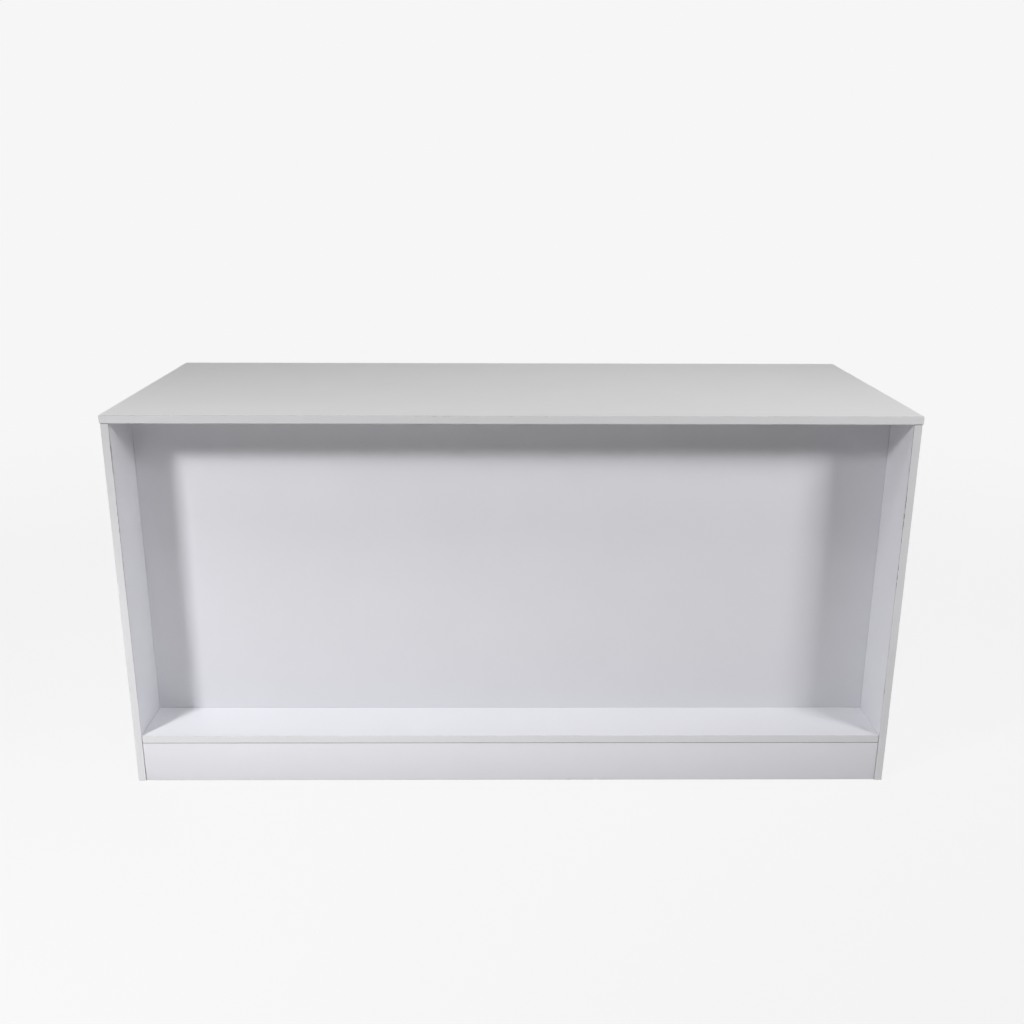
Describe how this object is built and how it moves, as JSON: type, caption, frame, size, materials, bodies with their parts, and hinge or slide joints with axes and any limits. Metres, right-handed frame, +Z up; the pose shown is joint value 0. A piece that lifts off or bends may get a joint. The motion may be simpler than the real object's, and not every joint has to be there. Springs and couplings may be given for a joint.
{
  "type": "retail counter",
  "caption": "White melamine shop counter: overhanging worktop, full-height sides, a wide shallow recess with a low deck on the customer side and open shelving on the staff side.",
  "frame": {"origin": "on the floor under the middle of the worktop", "axes": "+X along the counter to the right as the customer sees it, +Y from the customer side to the staff side, +Z up"},
  "size_m": [1.804, 0.7, 0.9],
  "materials": {
    "melamine_board": "white melamine-faced chipboard, fine satin texture",
    "edge_band": "white plastic edge band, satin, softened corners",
    "steel_fitting": "nickel-plated steel",
    "zinc_cam": "die-cast zinc",
    "beech_dowel": "bare turned beech"
  },
  "bodies": {
    "carcass": {"worktop": "melamine_board", "worktop_front_band": "edge_band", "worktop_rear_band": "edge_band", "worktop_left_band": "edge_band", "worktop_right_band": "edge_band", "left_side_panel": "melamine_board", "left_side_front_band": "edge_band", "left_side_rear_band": "edge_band", "right_side_panel": "melamine_board", "right_side_front_band": "edge_band", "right_side_rear_band": "edge_band", "base_deck": "melamine_board", "base_deck_front_band": "edge_band", "base_deck_rear_band": "edge_band", "front_plinth": "melamine_board", "rear_plinth": "melamine_board", "plinth_left_rail": "melamine_board", "plinth_centre_rail": "melamine_board", "plinth_right_rail": "melamine_board", "recess_back_panel": "melamine_board", "centre_upright": "melamine_board", "centre_upright_band": "edge_band", "left_shelf_pin_outer_front": "steel_fitting", "left_shelf_pin_outer_rear": "steel_fitting", "left_shelf_pin_inner_front": "steel_fitting", "left_shelf_pin_inner_rear": "steel_fitting", "right_shelf_pin_outer_front": "steel_fitting", "right_shelf_pin_outer_rear": "steel_fitting", "right_shelf_pin_inner_front": "steel_fitting", "right_shelf_pin_inner_rear": "steel_fitting", "left_deck_screw_front": "steel_fitting", "left_deck_screw_rear": "steel_fitting", "left_panel_screw_lower": "steel_fitting", "left_panel_screw_upper": "steel_fitting", "right_deck_screw_front": "steel_fitting", "right_deck_screw_rear": "steel_fitting", "right_panel_screw_lower": "steel_fitting", "right_panel_screw_upper": "steel_fitting", "panel_foot_screw_left": "steel_fitting", "panel_foot_screw_right": "steel_fitting", "upright_foot_screw_front": "steel_fitting", "upright_foot_screw_rear": "steel_fitting", "cam_bolt_left_front": "steel_fitting", "cam_bolt_left_rear": "steel_fitting", "cam_bolt_right_front": "steel_fitting", "cam_bolt_right_rear": "steel_fitting", "cam_bolt_panel_left": "steel_fitting", "cam_bolt_panel_right": "steel_fitting", "cam_housing_left_front": "zinc_cam", "cam_housing_left_rear": "zinc_cam", "cam_housing_right_front": "zinc_cam", "cam_housing_right_rear": "zinc_cam", "cam_housing_panel_left": "zinc_cam", "cam_housing_panel_right": "zinc_cam", "upright_dowel_lower": "beech_dowel", "upright_dowel_upper": "beech_dowel"},
    "left_loose_shelf": {"left_shelf": "melamine_board", "left_shelf_band": "edge_band"},
    "right_loose_shelf": {"right_shelf": "melamine_board", "right_shelf_band": "edge_band"}
  },
  "joints": [
    {"name": "left_shelf_slide", "type": "slide", "parent": "carcass", "child": "left_loose_shelf", "axis": [0, 1, 0], "range_m": [0, 0.54]},
    {"name": "right_shelf_slide", "type": "slide", "parent": "carcass", "child": "right_loose_shelf", "axis": [0, 1, 0], "range_m": [0, 0.54]}
  ]
}
